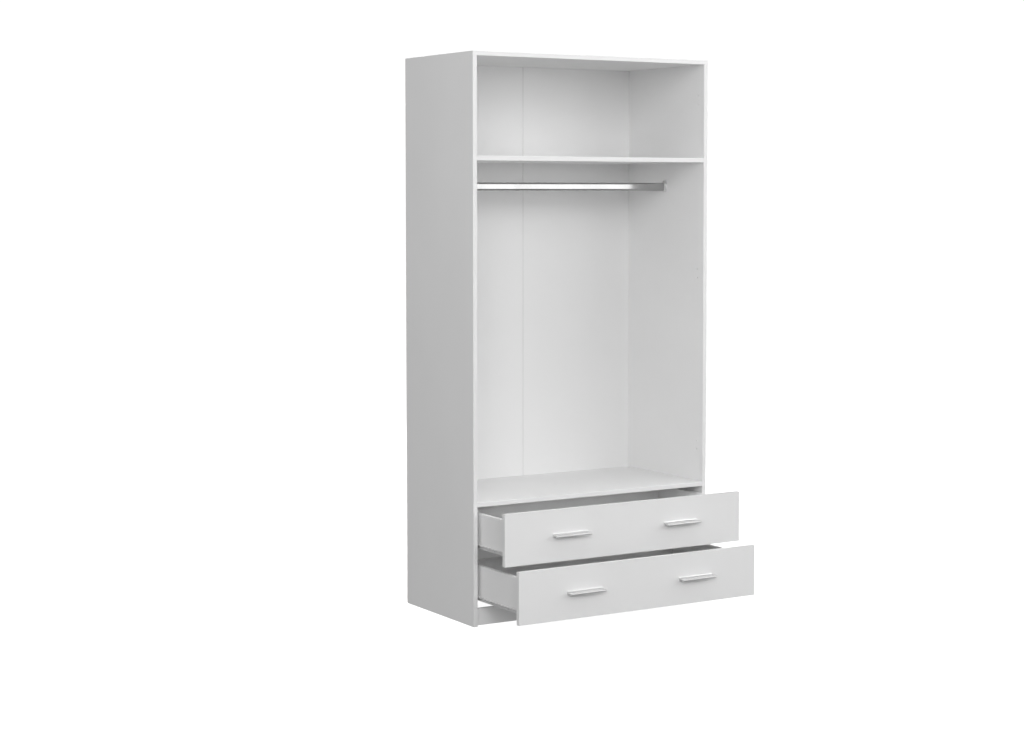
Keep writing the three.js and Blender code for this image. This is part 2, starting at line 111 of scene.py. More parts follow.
def grid_faces(rows, columns, closed=True):
    """Quads between the points of a grid numbered row by row; closed joins the last column to the first."""
    across = columns if closed else columns - 1
    row, column = np.meshgrid(np.arange(rows - 1), np.arange(across), indexing="ij")
    here = row * columns + column
    beside = row * columns + (column + 1) % columns
    return np.stack([here, beside, beside + columns, here + columns], -1).reshape(-1, 4).tolist()


def carried(rings):
    """An outline carried along a path: rings[i, j] is point j of the outline at station i.
    The first and last rings are closed by one flat face each."""
    rows, columns = rings.shape[:2]
    faces = grid_faces(rows, columns)
    last = (rows - 1) * columns
    faces.append(list(range(columns))[::-1])
    faces.append(list(range(last, last + columns)))
    return rings.reshape(-1, 3), faces


def tube(outer, inner):
    """A wall between two carried outlines with the same points, joined by flat rims at both ends."""
    rings = np.concatenate([outer, inner[::-1], outer[:1]])
    rows, columns = rings.shape[:2]
    return rings.reshape(-1, 3), grid_faces(rows, columns)


def eased_board(low, high, ease):
    """A board with quarter-round edges: the outline in the board's cross-section has corners of
    radius ease*sin(t), and it lies ease*(1 - cos(t)) in from the end, for t from 0 to 90 degrees.
    In between, the full outline is carried straight along the longest side."""
    low, high = np.array(low), np.array(high)
    along = int(np.argmax(high - low))
    across = [axis for axis in range(3) if axis != along]
    quarter = np.linspace(0, math.pi / 2, ARC_STEPS)
    start = np.arange(4) * math.pi / 2
    angle = (start[:, None] + quarter[None, :]).ravel()
    middle = (low + high) / 2
    half = (high - low) / 2 - ease
    turn_sign = np.array([[1, 1], [-1, 1], [-1, -1], [1, -1]])
    corner = np.repeat(turn_sign, ARC_STEPS, axis=0)
    radius = ease * np.sin(np.concatenate([quarter, quarter[::-1]]))
    inset = ease * (1 - np.cos(quarter))
    station = np.concatenate([low[along] + inset, high[along] - inset[::-1]])
    rings = np.empty((len(station), len(angle), 3))
    rings[..., along] = station[:, None]
    for index, axis in enumerate(across):
        direction = (np.cos(angle), np.sin(angle))[index]
        centre = middle[axis] + half[axis] * corner[:, index]
        rings[..., axis] = centre[None, :] + radius[:, None] * direction[None, :]
    return carried(rings)


def rounded_outline(corners, radii, steps=5):
    """A closed outline whose corners are arcs tangent to both sides. At each corner the arc's centre
    lies on the bisector, radius / sin(half the corner's angle) from the corner."""
    points = np.array(corners, float)
    rounded = []
    for index, corner in enumerate(points):
        radius = radii[index] if hasattr(radii, "__len__") else radii
        if radius <= 0:
            rounded.append(corner[None, :])
            continue
        before = points[index - 1] - corner
        after = points[(index + 1) % len(points)] - corner
        before /= np.linalg.norm(before)
        after /= np.linalg.norm(after)
        half_angle = math.acos(float(np.clip(before @ after, -1, 1))) / 2
        bisector = (before + after) / np.linalg.norm(before + after)
        centre = corner + bisector * radius / math.sin(half_angle)
        first = corner + before * radius / math.tan(half_angle) - centre
        last = corner + after * radius / math.tan(half_angle) - centre
        sweep = math.pi - 2 * half_angle
        share = np.linspace(0, 1, steps)[:, None]
        arc = (np.sin((1 - share) * sweep) * first + np.sin(share * sweep) * last) / math.sin(sweep)
        rounded.append(centre + arc)
    return np.concatenate(rounded)


def sheet_outline(corners, thickness, bend, steps=5):
    """The outline of a folded sheet: its middle line with rounded bends, set off by half the
    thickness to each side along the line's own normals."""
    line = rounded_outline(corners, [0] + [bend] * (len(corners) - 2) + [0], steps)
    step = np.gradient(line, axis=0)
    step[0] = line[1] - line[0]
    step[-1] = line[-1] - line[-2]
    normal = np.stack([-step[:, 1], step[:, 0]], -1)
    normal /= np.linalg.norm(normal, axis=1)[:, None]
    offset = normal * thickness / 2
    return np.concatenate([line + offset, (line - offset)[::-1]])


def stations_of(outline, axis, places, order):
    """The outline repeated at each place along an axis; order gives the outline's two other axes."""
    rings = np.empty((len(places), len(outline), 3))
    rings[..., axis] = np.array(places)[:, None]
    rings[..., order[0]] = outline[None, :, 0]
    rings[..., order[1]] = outline[None, :, 1]
    return rings


def oval_outline(centre, height, thickness, segments=32):
    """An upright oval: two half circles of the thickness joined by straight sides."""
    radius = thickness / 2
    angle = np.linspace(0, TURN, segments, endpoint=False) + TURN / segments / 2
    rise = np.sign(np.sin(angle)) * (height / 2 - radius)
    return np.stack([centre[0] + radius * np.cos(angle), centre[1] + rise + radius * np.sin(angle)], -1)


def turned(radii, heights, place, axis, direction=1, segments=24):
    """A turned piece: row i is a ring of radius radii[i] at heights[i] along the axis from place.
    radii and heights may also give a value for each angle of each row. Rows of radius 0 close the
    ends."""
    radii = np.array(radii, float)
    heights = np.array(heights, float)
    if radii.ndim == 1:
        radii = np.repeat(radii[:, None], segments, axis=1)
    if heights.ndim == 1:
        heights = heights[:, None]
    angle = np.linspace(0, TURN, radii.shape[1], endpoint=False)
    across = [(axis + 1) % 3, (axis + 2) % 3]
    rings = np.empty(radii.shape + (3,))
    rings[..., axis] = heights * direction + place[axis]
    rings[..., across[0]] = radii * np.cos(angle) + place[across[0]]
    rings[..., across[1]] = radii * np.sin(angle) + place[across[1]]
    return carried(rings)


def screw(place, axis, direction, head, shank_radius, shank_length, segments=48):
    """A pan-head screw with a cross recess. The head is height*(1 - (r/R)^3)^(1/3) over its seat. The
    recess is a four-lobed star of radius R*(0.16 + 0.42*cos(2a)^6), tapering to its flat floor."""
    radius = head["radius"]
    height = head["height"]
    angle = np.linspace(0, TURN, segments, endpoint=False)
    star = radius * (0.16 + 0.42 * np.cos(2 * angle) ** 6)
    crown = lambda r: height * (1 - (np.clip(r / radius, 0, 1)) ** 3) ** (1 / 3)
    share = np.array([0.0, 0.35, 0.6, 0.8, 0.92, 0.98, 1.0])
    dome_radii = star[None, :] + (radius - star[None, :]) * share[:, None]
    floor = height * 0.35
    radii = np.concatenate([
        np.zeros((1, segments)),
        star[None, :] * 0.75,
        dome_radii,
        np.full((1, segments), shank_radius),
        np.full((1, segments), shank_radius),
        np.zeros((1, segments)),
    ])
    rises = np.concatenate([
        np.full((1, segments), floor),
        np.full((1, segments), floor),
        crown(dome_radii),
        np.zeros((1, segments)),
        np.full((1, segments), -shank_length + shank_radius),
        np.full((1, segments), -shank_length),
    ])
    return turned(radii, rises, place, axis, direction)


# ---- Making pieces ----


def settle(piece, node, finishes, ease=0.0, sharp_degrees=35):
    """Gives a piece its finishes and soft shading, and puts it on the body of the CAD node
    that it stands for."""
    work = bmesh.new()
    work.from_mesh(piece.data)
    bmesh.ops.remove_doubles(work, verts=work.verts, dist=MERGE_DISTANCE)
    bmesh.ops.recalc_face_normals(work, faces=work.faces)
    work.to_mesh(piece.data)
    work.free()
    for finish in finishes:
        piece.data.materials.append(finish)
    piece.data.shade_smooth()
    piece.data.set_sharp_from_angle(angle=math.radians(sharp_degrees))
    if ease > 0:
        bevel = piece.modifiers.new("eased edges", "BEVEL")
        bevel.width = ease
        bevel.segments = 2
        bevel.limit_method = "ANGLE"
        bevel.angle_limit = math.radians(sharp_degrees)
    even = piece.modifiers.new("even shading", "WEIGHTED_NORMAL")
    even.keep_sharp = True
    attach(piece, BODY_OF[node])
    return piece


def make_piece(name, surfaces, node, finishes, **options):
    """Puts all the surfaces in one mesh and settles it for the node."""
    vertices = []
    faces = []
    for points, polygons in surfaces:
        start = len(vertices)
        vertices.extend(points.tolist())
        faces.extend([[corner + start for corner in polygon] for polygon in polygons])
    mesh = bpy.data.meshes.new(name)
    mesh.from_pydata(vertices, [], faces)
    piece = bpy.data.objects.new(name, mesh)
    bpy.context.scene.collection.objects.link(piece)
    return settle(piece, node, finishes, **options)


def stand_for(node, surfaces, finishes, **options):
    """A finished piece in place of one CAD node."""
    piece = make_piece("finished_" + node, surfaces, node, finishes, **options)
    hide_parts(node)
    return piece


def eased_copy(node, ease, finishes):
    """The node's own board with its holes and grooves, its loose triangles joined and edges eased."""
    work = bmesh.new()
    work.from_mesh(NODES[node].data)
    bmesh.ops.remove_doubles(work, verts=work.verts, dist=MERGE_DISTANCE)
    flat = math.radians(1)
    bmesh.ops.dissolve_limit(work, angle_limit=flat, verts=work.verts, edges=work.edges)
    mesh = bpy.data.meshes.new("finished_" + node)
    work.to_mesh(mesh)
    work.free()
    piece = bpy.data.objects.new("finished_" + node, mesh)
    bpy.context.scene.collection.objects.link(piece)
    settle(piece, node, finishes, ease=ease)
    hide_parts(node)
    return piece


def box_of(node):
    """The node's lowest and highest corners as arrays."""
    low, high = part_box(node)
    return np.array(low), np.array(high)


def mark_faces(piece, chosen, index):
    """Gives the faces picked by chosen(normals, centres) the finish with that index."""
    count = len(piece.data.polygons)
    normals = np.empty(count * 3)
    centres = np.empty(count * 3)
    piece.data.polygons.foreach_get("normal", normals)
    piece.data.polygons.foreach_get("center", centres)
    marks = np.empty(count, np.int32)
    piece.data.polygons.foreach_get("material_index", marks)
    marks[chosen(normals.reshape(-1, 3), centres.reshape(-1, 3))] = index
    piece.data.polygons.foreach_set("material_index", marks)


# ---- Finishes ----


class Finish:
    """A node material on Object coordinates, with its texture nodes made one call at a time."""

    def __init__(self, name, **sockets):
        self.material = bpy.data.materials.new(name)
        self.material.use_nodes = True
        self.nodes = self.material.node_tree.nodes
        self.links = self.material.node_tree.links
        self.shader = self.nodes["Principled BSDF"]
        for socket, value in sockets.items():
            self.shader.inputs[socket.replace("_", " ")].default_value = value
        self.place = self.nodes.new("ShaderNodeTexCoord").outputs["Object"]

    def link(self, output, socket):
        self.links.new(output, socket)

    def stretched(self, scale):
        """Object coordinates scaled by a factor along each axis."""
        mapping = self.nodes.new("ShaderNodeMapping")
        mapping.inputs["Scale"].default_value = scale
        self.link(self.place, mapping.inputs["Vector"])
        return mapping.outputs["Vector"]

    def noise(self, scale, detail=2.0, roughness=0.5, place=None):
        """Fractal noise with about scale features in a metre."""
        texture = self.nodes.new("ShaderNodeTexNoise")
        texture.inputs["Scale"].default_value = scale
        texture.inputs["Detail"].default_value = detail
        texture.inputs["Roughness"].default_value = roughness
        self.link(place or self.place, texture.inputs["Vector"])
        return texture.outputs["Fac"]

    def cells(self, scale, place=None):
        """Distance to the nearest of scattered points, about scale of them in a metre."""
        texture = self.nodes.new("ShaderNodeTexVoronoi")
        texture.inputs["Scale"].default_value = scale
        self.link(place or self.place, texture.inputs["Vector"])
        return texture.outputs["Distance"]

    def spread(self, value, low, high, start=0.3, end=0.7):
        """Maps start..end of a texture to low..high."""
        between = self.nodes.new("ShaderNodeMapRange")
        between.inputs["From Min"].default_value = start
        between.inputs["From Max"].default_value = end
        between.inputs["To Min"].default_value = low
        between.inputs["To Max"].default_value = high
        self.link(value, between.inputs["Value"])
        return between.outputs["Result"]

    def tones(self, value, colours, start=0.3, end=0.7):
        """A colour ramp with evenly spaced colours between start and end of a texture."""
        ramp = self.nodes.new("ShaderNodeValToRGB")
        elements = ramp.color_ramp.elements
        while len(elements) < len(colours):
            elements.new(0.5)
        for index, colour in enumerate(colours):
            elements[index].position = start + (end - start) * index / (len(colours) - 1)
            elements[index].color = (*colour, 1)
        self.link(value, ramp.inputs["Fac"])
        return ramp.outputs["Color"]

    def mix(self, share, first, second):
        """Blends two colours by a share. The mix node's colour sockets are inputs 6 and 7, output 2."""
        blend = self.nodes.new("ShaderNodeMix")
        blend.data_type = "RGBA"
        self.link(share, blend.inputs["Factor"])
        self.link(first, blend.inputs[6])
        self.link(second, blend.inputs[7])
        return blend.outputs[2]

    def bumps(self, *layers):
        """Layers of relief, each (texture, strength, height in metres), one on another."""
        below = None
        for texture, strength, height in layers:
            bump = self.nodes.new("ShaderNodeBump")
            bump.inputs["Strength"].default_value = strength
            bump.inputs["Distance"].default_value = height
            self.link(texture, bump.inputs["Height"])
            if below is not None:
                self.link(below, bump.inputs["Normal"])
            below = bump.outputs["Normal"]
        self.link(below, self.shader.inputs["Normal"])

    def colour(self, output):
        self.link(output, self.shader.inputs["Base Color"])

    def roughness(self, output):
        self.link(output, self.shader.inputs["Roughness"])


def grey(level, warmth=0.0):
    """A near-neutral tone; warmth lifts red over blue by that share."""
    return (level * (1 + warmth), level, level * (1 - warmth))


def white_board_finish():
    """Melamine-faced board: an even white with a fine pebbled grain pressed into it."""
    finish = Finish("white melamine", IOR=1.5, Specular_IOR_Level=0.35)
    cloud = finish.noise(2.6, detail=3)
    finish.colour(finish.tones(cloud, [grey(0.855), grey(0.88)]))
    smears = finish.noise(11, detail=4)
    finish.roughness(finish.spread(smears, 0.52, 0.64))
    pebbles = finish.cells(1400)
    ripple = finish.noise(420, detail=2)
    finish.bumps((ripple, 0.10, 0.10 * MM), (pebbles, 0.16, 0.06 * MM))
    return finish.material


def white_edging_finish():
    """Plastic edging glued round the boards, a little smoother than their faces."""
    finish = Finish("white edging", IOR=1.5, Specular_IOR_Level=0.35)
    cloud = finish.noise(5, detail=2)
    finish.colour(finish.tones(cloud, [grey(0.855), grey(0.88)]))
    scraping = finish.noise(90, detail=3, place=finish.stretched((1, 1, 0.2)))
    finish.roughness(finish.spread(scraping, 0.46, 0.58))
    finish.bumps((finish.noise(700, detail=1), 0.08, 0.05 * MM))
    return finish.material


def hardboard_finish(split):
    """Thin fibreboard: white lacquer on the face towards the clothes, bare brown fibres behind the
    plane y = split."""
    finish = Finish("lacquered hardboard", IOR=1.5, Specular_IOR_Level=0.35)
    apart = finish.nodes.new("ShaderNodeSeparateXYZ")
    finish.link(finish.place, apart.inputs["Vector"])
    behind = finish.spread(apart.outputs["Y"], 0, 1, split - 0.05 * MM, split + 0.05 * MM)
    lacquer = finish.tones(finish.noise(3, detail=2), [grey(0.86), grey(0.88)])
    fibres = finish.noise(260, detail=5, roughness=0.7, place=finish.stretched((1, 1, 0.45)))
    bare = finish.tones(fibres, [(0.20, 0.125, 0.075), (0.33, 0.225, 0.145), (0.42, 0.30, 0.20)])
    finish.colour(finish.mix(behind, lacquer, bare))
    finish.roughness(finish.spread(behind, 0.5, 0.85, 0, 1))
    finish.bumps((finish.noise(500, detail=3), 0.12, 0.10 * MM), (fibres, 0.10, 0.12 * MM))
    return finish.material


def plain_hardboard_finish():
    """The drawer bottoms' fibreboard, lacquered white with a faint orange peel."""
    finish = Finish("white lacquer", IOR=1.5, Specular_IOR_Level=0.35)
    finish.colour(finish.tones(finish.noise(4, detail=3), [grey(0.84), grey(0.87)]))
    finish.roughness(finish.spread(finish.noise(16, detail=3), 0.46, 0.58))
    finish.bumps((finish.noise(480, detail=3), 0.14, 0.10 * MM))
    return finish.material


def strip_finish():
    """Extruded white plastic, with faint draw lines along its length."""
    finish = Finish("extruded plastic", IOR=1.5)
    finish.colour(finish.tones(finish.noise(8, detail=2), [grey(0.78), grey(0.81)]))
    lines = finish.noise(1500, detail=2, place=finish.stretched((1, 1, 0.01)))
    finish.roughness(finish.spread(lines, 0.38, 0.5))
    finish.bumps((lines, 0.10, 0.04 * MM))
    return finish.material


def chrome_finish():
    """Polished chrome with faint wipe marks and the slight waviness of drawn tube."""
    finish = Finish("chrome", Metallic=1.0)
    finish.colour(finish.tones(finish.noise(14, detail=3), [grey(0.40), grey(0.45)]))
    wipes = finish.noise(60, detail=5, roughness=0.65, place=finish.stretched((0.25, 1, 1)))
    finish.roughness(finish.spread(wipes, 0.10, 0.20))
    finish.bumps((finish.noise(30, detail=1, place=finish.stretched((0.3, 1, 1))), 0.05, 0.2 * MM))
    return finish.material


def die_cast_finish():
    """Die-cast metal under satin chrome."""
    finish = Finish("satin chrome", Metallic=1.0)
    cloud = finish.noise(40, detail=3)
    finish.colour(finish.tones(cloud, [grey(0.72), grey(0.80)]))
    finish.roughness(finish.spread(cloud, 0.30, 0.42))
    finish.bumps((finish.noise(900, detail=2), 0.06, 0.04 * MM))
    return finish.material


def aluminium_finish():
    """Anodised aluminium, brushed along the handle."""
    finish = Finish("brushed aluminium", Metallic=1.0)
    brushing = finish.noise(2600, detail=3, roughness=0.6, place=finish.stretched((0.012, 1, 1)))
    finish.colour(finish.tones(brushing, [grey(0.80), grey(0.89)]))
    finish.roughness(finish.spread(brushing, 0.30, 0.42))
    finish.bumps((brushing, 0.16, 0.03 * MM))
    return finish.material


def grey_steel_finish():
    """Powder-coated rolled steel, with a fine orange peel."""
    finish = Finish("powder-coated steel", IOR=1.5)
    finish.colour(finish.tones(finish.noise(30, detail=3), [grey(0.64), grey(0.70)]))
    finish.roughness(finish.spread(finish.noise(120, detail=3), 0.38, 0.52))
    finish.bumps((finish.noise(900, detail=2), 0.25, 0.08 * MM))
    return finish.material


def roller_finish():
    """Moulded nylon, slightly warm, with a fine moulding texture."""
    finish = Finish("roller nylon", IOR=1.52)
    finish.colour(finish.tones(finish.noise(60, detail=2), [grey(0.66, 0.02), grey(0.73, 0.02)]))
    finish.roughness(finish.spread(finish.noise(200, detail=2), 0.35, 0.5))
    finish.bumps((finish.noise(1500, detail=1), 0.12, 0.04 * MM))
    return finish.material


def zinc_finish():
    """Zinc plating: bright, with a cloudy crystalline bloom."""
    finish = Finish("zinc plating", Metallic=1.0)
    bloom = finish.cells(700)
    finish.colour(finish.tones(bloom, [grey(0.60), grey(0.70)], 0.1, 0.8))
    finish.roughness(finish.spread(finish.noise(500, detail=4), 0.24, 0.42))
    finish.bumps((finish.noise(1800, detail=2), 0.10, 0.03 * MM))
    return finish.material


back_low, back_high = box_of("back_left")
BOARD_FACE = white_board_finish()
EDGING = white_edging_finish()
HARDBOARD = hardboard_finish(back_low[1] + BACK_SPLIT_DEPTH * (back_high[1] - back_low[1]))
LACQUER = plain_hardboard_finish()
STRIP_PLASTIC = strip_finish()
CHROME = chrome_finish()
SATIN_CHROME = die_cast_finish()
ALUMINIUM = aluminium_finish()
GREY_STEEL = grey_steel_finish()
ROLLER_NYLON = roller_finish()
ZINC = zinc_finish()

# ---- Carcass ----


def edge_the_board(piece, thin_axis):
    """Marks the board's narrow edges, all the way round, with the edging finish."""
    mark_faces(piece, lambda normals, centres: np.abs(normals[:, thin_axis]) < 0.6, 1)


def add_board(node):
    low, high = box_of(node)
    piece = stand_for(node, [eased_board(low, high, BOARD_EASE)], [BOARD_FACE, EDGING])
    edge_the_board(piece, int(np.argmin(high - low)))


def add_bored_board(node, ease):
    low, high = box_of(node)
    piece = eased_copy(node, ease, [BOARD_FACE, EDGING])
    edge_the_board(piece, int(np.argmin(high - low)))


def add_carcass_boards():
    for node in ("top_panel", "shelf", "deck", "plinth"):
        add_board(node)
    for side_name, _ in SIDES:
        add_bored_board("side_" + side_name, BORED_EASE)


def add_back():
    for side_name, _ in SIDES:
        node = "back_" + side_name
        low, high = box_of(node)
        stand_for(node, [eased_board(low, high, THIN_EASE)], [HARDBOARD])
    eased_copy("back_joint_strip", STRIP_EASE, [STRIP_PLASTIC])


def nail_row(start, end):
    """Evenly spaced places from start to end, both included, about NAIL_SPACING apart."""
    start, end = np.array(start), np.array(end)
    count = max(2, round(float(np.linalg.norm(end - start)) / NAIL_SPACING) + 1)
    return start + (end - start) * np.linspace(0, 1, count)[:, None]


def add_back_nails():
    """Round-headed nails that hold the back sheets to the sides, top, shelf and deck."""
    low, high = box_of("back_left")
    right_high = box_of("back_right")[1]
    rear = high[1]
    bottom = low[2] + NAILS_ABOVE_FLOOR
    top = high[2] - NAILS_BELOW_TOP
    rows = []
    for x in (low[0] + NAIL_INSET, right_high[0] - NAIL_INSET):
        rows.append(nail_row((x, rear, bottom), (x, rear, top)))
    for node in ("top_panel", "shelf", "deck"):
        board_low, board_high = box_of(node)
        middle = (board_low[2] + board_high[2]) / 2
        left, right = low[0] + NAILS_FROM_EDGE, right_high[0] - NAILS_FROM_EDGE
        rows.append(nail_row((left, rear, middle), (-NAILS_FROM_STRIP, rear, middle)))
        rows.append(nail_row((NAILS_FROM_STRIP, rear, middle), (right, rear, middle)))
    radius, height = NAIL["radius"], NAIL["height"]
    radii = [0, 0.5 * radius, 0.85 * radius, radius, radius, 0]
    heights = [height, 0.93 * height, 0.6 * height, 0.15 * height, 0, 0]
    heads = [turned(radii, heights, place, 1, 1, 12) for place in np.concatenate(rows)]
    make_piece("back_nails", heads, "back_left", [ZINC])


def add_rail():
    low, high = box_of("hanging_rail")
    centre = (low[1] + high[1]) / 2, (low[2] + high[2]) / 2
    thickness, height = high[1] - low[1], high[2] - low[2]
    bore_height, bore_thickness = height - 2 * RAIL_WALL, thickness - 2 * RAIL_WALL
    ends = [low[0], high[0]]
    outer = stations_of(oval_outline(centre, height, thickness, 64), 0, ends, (1, 2))
    inner = stations_of(oval_outline(centre, bore_height, bore_thickness, 64), 0, ends, (1, 2))
    stand_for("hanging_rail", [tube(outer, inner)], [CHROME])


def cup_flange(centre, half_width, half_height, outward, side):
    """An elliptical plate on the wall, its exposed edge rounded over a quarter circle."""
    angle = np.linspace(0, TURN, 48, endpoint=False)
    quarter = np.linspace(0, math.pi / 2, 5)
    insets = np.concatenate([[0], CUP_EASE * (1 - np.cos(quarter))])
    reaches = np.concatenate([[0], CUP_PLATE - CUP_EASE + CUP_EASE * np.sin(quarter)])
    rings = np.empty((len(insets), len(angle), 3))
    rings[..., 0] = outward - side * reaches[:, None]
    rings[..., 1] = centre[0] + (half_width - insets[:, None]) * np.cos(angle)
    rings[..., 2] = centre[1] + (half_height - insets[:, None]) * np.sin(angle)
    return carried(rings)


def rail_cup(side_name, side):
    """An oval cup: offsets of one oval, carried from the wall plate up the outside, over a rounded
    lip and down the inside to the floor. It stands on an elliptical flange, and the screw lug
    above it is a turned boss."""
    low, high = box_of("rail_cup_" + side_name)
    rail_low, rail_high = box_of("hanging_rail")
    centre = (rail_low[1] + rail_high[1]) / 2, (rail_low[2] + rail_high[2]) / 2
    thickness, height = rail_high[1] - rail_low[1], rail_high[2] - rail_low[2]
    outward = high[0] if side > 0 else low[0]
    reach = high[0] - low[0]
    half_wall = CUP_WALL / 2
    lip = np.linspace(0, math.pi, 7)
    lip_offset = CUP_ROOM + half_wall + half_wall * np.cos(lip)
    lip_reach = reach - half_wall + half_wall * np.sin(lip)
    offsets = np.concatenate([[CUP_ROOM + CUP_WALL] * 2, lip_offset, [CUP_ROOM, -thickness / 2]])
    reaches = np.concatenate([[0, reach * 0.4], lip_reach, [CUP_PLATE, CUP_PLATE]])
    rings = np.stack([
        stations_of(
            oval_outline(centre, height + 2 * offset, max(thickness + 2 * offset, 0), 48),
            0, [outward - side * out], (1, 2),
        )[0]
        for offset, out in zip(offsets, reaches)
    ])
    screw_low, screw_high = box_of("rail_screw_" + side_name)
    lug = (outward, (screw_low[1] + screw_high[1]) / 2, (screw_low[2] + screw_high[2]) / 2)
    radius = high[2] - lug[2]
    quarter = np.linspace(0, math.pi / 2, 4)
    radii = np.concatenate([[0, radius], radius - CUP_EASE + CUP_EASE * np.cos(quarter), [0]])
    shoulder = LUG_DEPTH - CUP_EASE + CUP_EASE * np.sin(quarter)
    heights = np.concatenate([[0, 0], shoulder, [LUG_DEPTH]])
    flange = cup_flange(centre, (high[1] - low[1]) / 2, centre[1] - low[2], outward, side)
    return [carried(rings), flange, turned(radii, heights, lug, 0, -side, 32)]


def add_rail_ends():
    for side_name, side in SIDES:
        stand_for("rail_cup_" + side_name, rail_cup(side_name, side), [SATIN_CHROME])
        low, high = box_of("rail_screw_" + side_name)
        inner_end = low[0] if side > 0 else high[0]
        head = {"radius": (high[2] - low[2]) / 2, "height": SCREW_HEAD["height"]}
        seat = inner_end + side * head["height"]
        place = (seat, (low[1] + high[1]) / 2, (low[2] + high[2]) / 2)
        length = high[0] - low[0] - head["height"]
        fixing = screw(place, 0, -side, head, RAIL_SCREW_SHANK, length)
        stand_for("rail_screw_" + side_name, [fixing], [ZINC])


# ---- Runners ----


def rivet(place, side, length, head_radius):
    """A pin from place towards the roller's far face, with a domed head over it."""
    quarter = np.linspace(0, math.pi / 2, 5)
    dome = 0.5 * MM
    radii = np.concatenate([[0, 2 * MM, 2 * MM], head_radius * np.cos(quarter)])
    heights = np.concatenate([[0, 0, length], length + dome * np.sin(quarter)])
    return turned(radii, heights, place, 0, side, 24)


def wheel(node):
    """A roller: a tyre with rounded shoulders, a ring groove in each face and a bore for its pin."""
    low, high = box_of(node)
    radius = (high[2] - low[2]) / 2
    half = (high[0] - low[0]) / 2
    bore = 2.2 * MM
    shoulder = 0.8 * MM
    groove = 0.5 * MM
    quarter = np.linspace(0, math.pi / 2, 5)
    side_radii = np.array([bore, 0.50 * radius, 0.54 * radius, 0.74 * radius, 0.78 * radius])
    side_depth = np.array([half, half, half - groove, half - groove, half])
    round_radii = radius - shoulder + shoulder * np.sin(quarter)
    round_depth = half - shoulder + shoulder * np.cos(quarter)
    radii = np.concatenate([side_radii, round_radii, round_radii[::-1], side_radii[::-1], [bore]])
    depths = np.concatenate([side_depth, round_depth, -round_depth[::-1], -side_depth[::-1], [half]])
    middle = (low + high) / 2
    angle = np.linspace(0, TURN, 40, endpoint=False)
    rings = np.empty((len(radii), len(angle), 3))
    rings[..., 0] = middle[0] + depths[:, None]
    rings[..., 1] = middle[1] + radii[:, None] * np.cos(angle)
    rings[..., 2] = middle[2] + radii[:, None] * np.sin(angle)
    return rings.reshape(-1, 3), grid_faces(len(radii), len(angle))


def add_carcass_runner(drawer, side_name, side):
    """A rolled channel open towards the drawer, its pressed stop, and the front roller's pin."""
    node = f"{drawer}_carcass_runner_{side_name}"
    low, high = box_of(node)
    roller_low, roller_high = box_of(f"{drawer}_front_roller_{side_name}")
    wall = high[0] if side > 0 else low[0]
    at = lambda depth: wall - side * depth
    half = SHEET / 2
    lower, upper = low[2] + half, high[2] - half
    fold = [(at(CHANNEL_REACH), lower), (at(half), lower), (at(half), upper), (at(CHANNEL_REACH), upper)]
    outline = sheet_outline(fold, SHEET, SHEET_BEND)
    channel = carried(stations_of(outline, 1, [low[1], high[1]], (0, 2)))
    roller_middle = (roller_low + roller_high) / 2
    pin_start = (at(SHEET), roller_middle[1], roller_middle[2])
    pin = rivet(pin_start, -side, **ROLLER_PIN)
    stop_from, stop_to = sorted([at(half), at(STOP["reach"])])
    stop_low = np.array([stop_from, low[1] + STOP["setback"], low[2] + STOP["rise"]])
    stop_high = np.array([stop_to, stop_low[1] + STOP["size"], stop_low[2] + STOP["size"]])
    stop = eased_board(stop_low, stop_high, MM)
    stand_for(node, [channel, stop, pin], [GREY_STEEL], ease=0.2 * MM)


def add_drawer_runner(drawer, side_name, side):
    """A rolled angle that wraps the drawer side's bottom edge, with a flange that rides on the
    front roller and the pin of the rear roller."""
    node = f"{drawer}_drawer_runner_{side_name}"
    low, high = box_of(node)
    board_low, board_high = box_of(f"{drawer}_drawer_side_{side_name}")
    face = board_high[0] if side > 0 else board_low[0]
    at = lambda reach: face + side * reach
    base = board_low[2]
    half = SHEET / 2
    under, flange = at(-RUNNER_ANGLE["under"]), at(RUNNER_ANGLE["flange"])
    lower, upper = base - half, base + RUNNER_ANGLE["web"] - half
    fold = [(under, lower), (at(half), lower), (at(half), upper), (flange, upper)]
    outline = sheet_outline(fold, SHEET, SHEET_BEND)
    ends = [low[1], low[1] + RUNNER_ANGLE["length"]]
    profile = carried(stations_of(outline, 1, ends, (0, 2)))
    roller_low, roller_high = box_of(f"{drawer}_rear_roller_{side_name}")
    middle = (roller_low + roller_high) / 2
    pin = rivet((at(SHEET), middle[1], middle[2]), side, **ROLLER_PIN)
    stand_for(node, [profile, pin], [GREY_STEEL], ease=0.2 * MM)
    shank = RUNNER_SCREW_SHANK["radius"], RUNNER_SCREW_SHANK["length"]
    height = base + RUNNER_SCREW_SHANK["rise"]
    heads = [
        screw((at(SHEET), low[1] + setback, height), 0, side, RUNNER_SCREW, *shank)
        for setback in RUNNER_SCREW_SETBACKS
    ]
    make_piece(f"{drawer}_runner_screws_{side_name}", heads, node, [ZINC])


def add_runners():
    for drawer in DRAWERS:
        for side_name, side in SIDES:
            add_carcass_runner(drawer, side_name, side)
            add_drawer_runner(drawer, side_name, side)
            for end in ("front", "rear"):
                node = f"{drawer}_{end}_roller_{side_name}"
                stand_for(node, [wheel(node)], [ROLLER_NYLON])


# ---- Drawers ----


